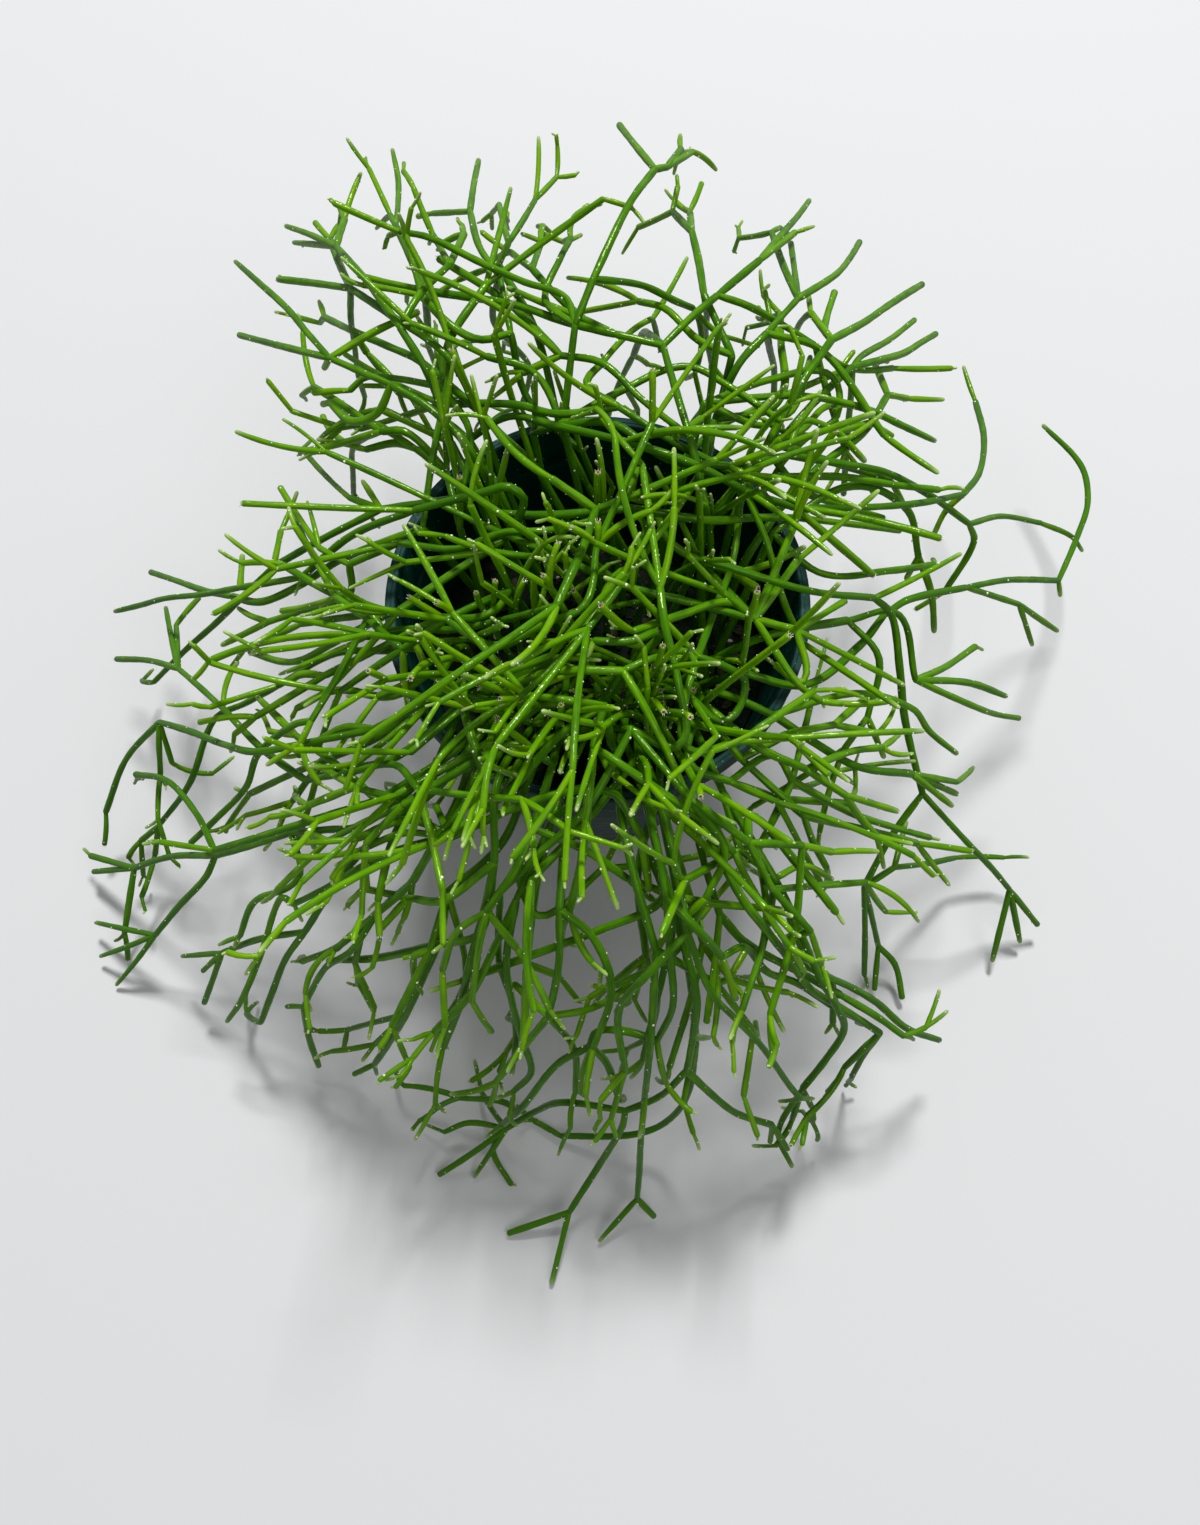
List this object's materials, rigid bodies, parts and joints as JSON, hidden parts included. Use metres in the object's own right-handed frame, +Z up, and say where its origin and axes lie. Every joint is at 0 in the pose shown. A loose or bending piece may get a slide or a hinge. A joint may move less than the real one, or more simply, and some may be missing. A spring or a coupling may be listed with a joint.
{
  "type": "potted mistletoe cactus",
  "caption": "Mistletoe cactus with thin, round, many-branched trailing stems, rooted in soil in a tapered nursery pot with a flat rim.",
  "frame": {"origin": "centre of the pot's base, on the surface that the pot stands on", "axes": "+Z up along the pot's axis; -Y towards the side where the stems trail lowest; +X to the right of that side"},
  "size_m": [0.3697, 0.3752, 0.1664],
  "materials": {
    "pot_plastic": "satin moulded polypropylene, dark bluish green",
    "potting_soil": "damp, crumbly potting mix, near black",
    "stem_skin": "smooth waxy plant skin, bright green, slightly glossy"
  },
  "bodies": {
    "root": {"pot": "pot_plastic", "soil": "potting_soil", "stem_back_left_1": "stem_skin", "stem_back_left_2": "stem_skin", "stem_back_left_3": "stem_skin", "stem_back_left_4": "stem_skin", "stem_back_1": "stem_skin", "stem_back_2": "stem_skin", "stem_back_3": "stem_skin", "stem_back_4": "stem_skin", "stem_back_5": "stem_skin", "stem_back_6": "stem_skin", "stem_back_7": "stem_skin", "stem_back_right_1": "stem_skin", "stem_back_right_2": "stem_skin", "stem_back_right_3": "stem_skin", "stem_back_right_4": "stem_skin", "stem_right_1": "stem_skin", "stem_right_2": "stem_skin", "stem_right_3": "stem_skin", "stem_right_4": "stem_skin", "stem_right_5": "stem_skin", "stem_right_6": "stem_skin", "stem_right_7": "stem_skin", "stem_right_8": "stem_skin", "stem_front_right_1": "stem_skin", "stem_front_right_2": "stem_skin", "stem_front_right_3": "stem_skin", "stem_front_right_4": "stem_skin", "stem_front_right_5": "stem_skin", "stem_front_1": "stem_skin", "stem_front_2": "stem_skin", "stem_front_3": "stem_skin", "stem_front_4": "stem_skin", "stem_front_5": "stem_skin", "stem_front_6": "stem_skin", "stem_front_7": "stem_skin", "stem_front_left_1": "stem_skin", "stem_front_left_2": "stem_skin", "stem_front_left_3": "stem_skin", "stem_front_left_4": "stem_skin", "stem_front_left_5": "stem_skin", "stem_left_1": "stem_skin", "stem_left_2": "stem_skin", "stem_left_3": "stem_skin", "stem_left_4": "stem_skin", "stem_left_5": "stem_skin", "stem_left_6": "stem_skin", "stem_left_7": "stem_skin", "stem_left_8": "stem_skin", "stem_left_9": "stem_skin", "stem_left_10": "stem_skin", "stem_crown_1": "stem_skin", "stem_crown_2": "stem_skin", "stem_crown_3": "stem_skin", "stem_crown_4": "stem_skin", "stem_crown_5": "stem_skin", "stem_crown_6": "stem_skin", "stem_crown_7": "stem_skin", "stem_crown_8": "stem_skin"}
  },
  "joints": []
}
